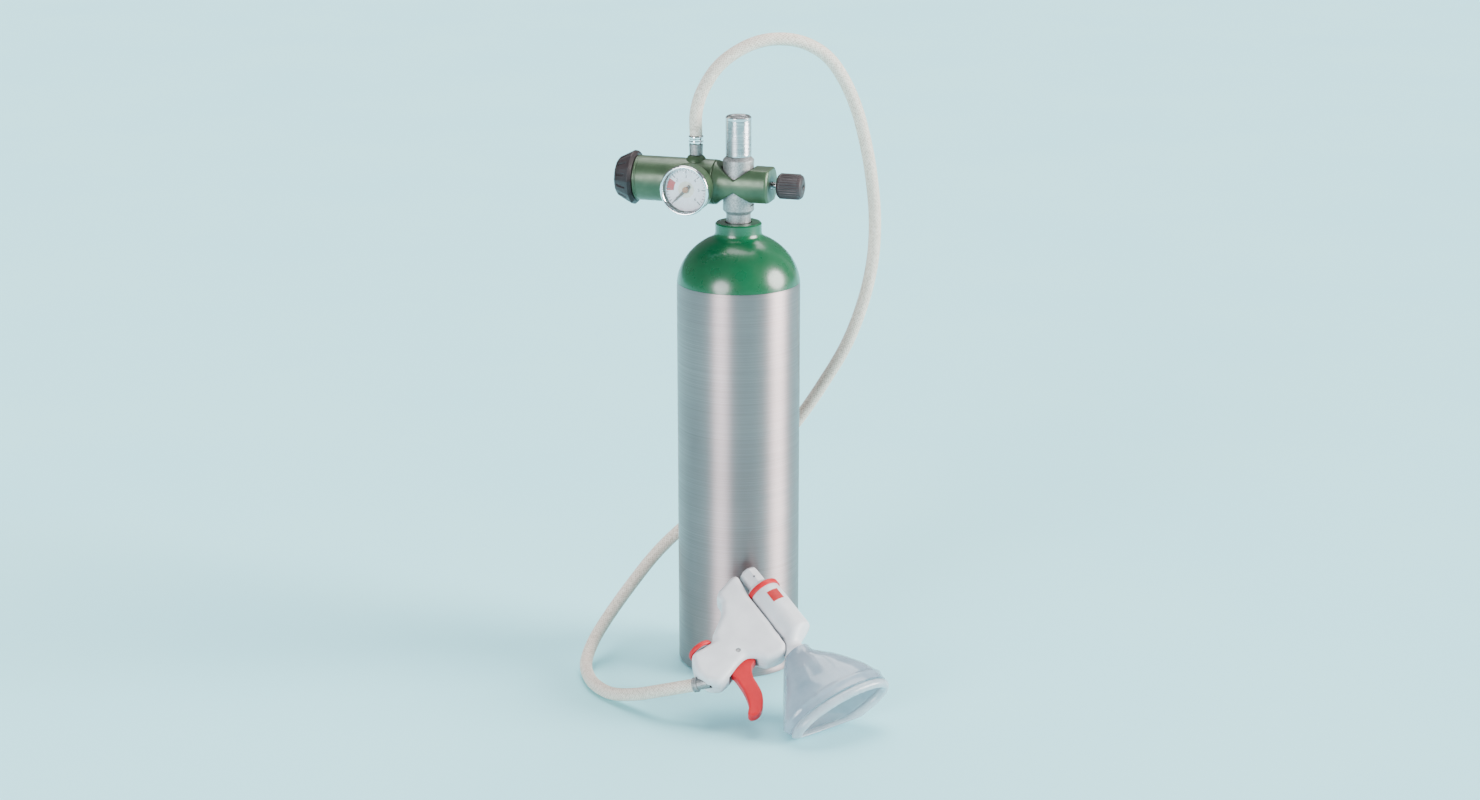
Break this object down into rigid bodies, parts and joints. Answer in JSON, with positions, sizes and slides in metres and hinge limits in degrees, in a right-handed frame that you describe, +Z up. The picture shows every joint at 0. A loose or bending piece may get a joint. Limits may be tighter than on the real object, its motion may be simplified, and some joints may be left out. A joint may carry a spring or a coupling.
{
  "type": "oxygen cylinder",
  "caption": "Portable oxygen cylinder with a post valve, a yoke regulator with a gauge, a long hose and a hand-triggered breathing valve with a face mask.",
  "frame": {"origin": "centre of the cylinder's base", "axes": "+Z up the cylinder, X along the regulator with the clamp knob at +X, the gauge faces -Y"},
  "size_m": [0.3052, 0.2895, 0.582],
  "materials": {
    "brushed_aluminium": "brushed",
    "cast_metal": "cast, matt",
    "chrome": "polished",
    "steel": "satin",
    "brass": "satin",
    "green_anodised": "satin anodised",
    "dark_plastic": "satin",
    "black_rubber": "matt",
    "dial_white": "matt",
    "pointer_dark": "satin",
    "lens": "clear",
    "hose_cream": "braided matt",
    "white_plastic": "satin",
    "red_plastic": "satin",
    "silicone": "soft satin",
    "mask_clear": "clear glossy"
  },
  "bodies": {
    "oxygen_set": {"barrel_cap": "white_plastic", "barrel_ring": "red_plastic", "bourdon_tube": "brass", "cover_ring": "red_plastic", "cylinder_shell": "brushed_aluminium", "demand_valve_body": "brass", "diaphragm": "silicone", "exhaust_cover": "white_plastic", "gauge_bezel": "chrome", "gauge_case": "green_anodised", "gauge_dial": "dial_white", "gauge_lens": "lens", "gauge_stem": "brass", "gland_nut": "brass", "grip_hose_fitting": "cast_metal", "grip_screw_1": "steel", "grip_screw_2": "steel", "grip_shell_back": "white_plastic", "grip_shell_front": "white_plastic", "hand_barrel": "white_plastic", "hose": "hose_cream", "hose_ferrule": "chrome", "index_pin_left": "steel", "index_pin_right": "steel", "inlet_nipple": "brass", "movement_plate": "brass", "neck_seal_ring": "black_rubber", "outlet_fitting": "cast_metal", "piston_spring": "steel", "regulator_barrel": "green_anodised", "regulator_bonnet": "brass", "regulator_yoke": "green_anodised", "relief_plug": "brass", "relief_spring": "steel", "seal_washer": "black_rubber", "trigger_pin": "steel", "trigger_spring": "steel", "valve_body": "cast_metal", "valve_packing": "black_rubber"},
    "valve_handle": {"valve_knob": "steel", "valve_spindle": "brass"},
    "valve_seat_plug": {"valve_plug": "black_rubber"},
    "clamp_foot": {"clamp_pad": "steel"},
    "clamp_handle": {"clamp_screw": "steel", "clamp_knob": "dark_plastic"},
    "flow_selector": {"flow_knob": "dark_plastic", "selector_shaft": "steel", "orifice_disc": "brass"},
    "pressure_piston": {"piston": "brushed_aluminium", "piston_seal_ring": "black_rubber"},
    "gauge_needle": {"gauge_pointer": "pointer_dark", "pointer_shaft": "steel"},
    "gauge_sector": {"sector_gear": "brass"},
    "trigger_lever": {"trigger": "red_plastic"},
    "demand_stem": {"demand_valve_stem": "steel"},
    "relief_valve": {"relief_disc": "silicone"},
    "mask": {"mask_collar": "mask_clear", "mask_dome": "mask_clear", "mask_cushion": "silicone"}
  },
  "joints": [
    {"name": "valve_turn", "type": "hinge", "parent": "oxygen_set", "child": "valve_handle", "pos_m": [0, 0, 0.49], "axis": [0, 0, 1], "range_deg": [0, 360]},
    {"name": "valve_lift", "type": "slide", "parent": "oxygen_set", "child": "valve_seat_plug", "axis": [0, 0, 1], "range_m": [0, 0.0015]},
    {"name": "clamp_slide", "type": "slide", "parent": "oxygen_set", "child": "clamp_foot", "axis": [1, 0, 0], "range_m": [0, 0.0045]},
    {"name": "clamp_turn", "type": "hinge", "parent": "clamp_foot", "child": "clamp_handle", "pos_m": [0.03, 0, 0.452], "axis": [1, 0, 0], "range_deg": [0, 1080]},
    {"name": "flow_turn", "type": "hinge", "parent": "oxygen_set", "child": "flow_selector", "pos_m": [-0.1, 0, 0.452], "axis": [1, 0, 0], "range_deg": [0, 315]},
    {"name": "piston_slide", "type": "slide", "parent": "oxygen_set", "child": "pressure_piston", "axis": [-1, 0, 0], "range_m": [0, 0.0015], "stiffness_N_per_m": 2000, "deforming": ["piston_spring"]},
    {"name": "needle_turn", "type": "hinge", "parent": "oxygen_set", "child": "gauge_needle", "pos_m": [-0.039, -0.032, 0.45], "axis": [0, 1, 0], "range_deg": [0, 270]},
    {"name": "sector_turn", "type": "hinge", "parent": "oxygen_set", "child": "gauge_sector", "pos_m": [-0.039, -0.028, 0.442], "axis": [0, 1, 0], "range_deg": [-62, 0]},
    {"name": "trigger_pull", "type": "hinge", "parent": "oxygen_set", "child": "trigger_lever", "pos_m": [0.03923, -0.12913, 0.05413], "axis": [-0.1739, 0.5688, -0.8039], "range_deg": [0, 12], "stiffness_Nm_per_rad": 0.4, "springref_deg": -5.73},
    {"name": "demand_stem_slide", "type": "slide", "parent": "oxygen_set", "child": "demand_stem", "axis": [0.6643, 0.6703, 0.3306], "range_m": [0, 0.00398]},
    {"name": "relief_slide", "type": "slide", "parent": "oxygen_set", "child": "relief_valve", "axis": [-0.7269, 0.4765, 0.4945], "range_m": [0, 0.0015], "stiffness_N_per_m": 400, "springref_m": -0.001, "deforming": ["relief_spring"]},
    {"name": "mask_swivel", "type": "hinge", "parent": "oxygen_set", "child": "mask", "pos_m": [0.09132, -0.11407, 0.05352], "axis": [0.7269, -0.4765, -0.4945], "range_deg": [-180, 180]}
  ],
  "couplings": [
    {"joint": "valve_turn", "follows": "valve_lift", "rad_per_m": 4188.8},
    {"joint": "clamp_turn", "follows": "clamp_slide", "rad_per_m": 4188.8},
    {"joint": "sector_turn", "follows": "needle_turn", "ratio": -0.22222},
    {"joint": "trigger_pull", "follows": "demand_stem_slide", "rad_per_m": 52.6}
  ]
}
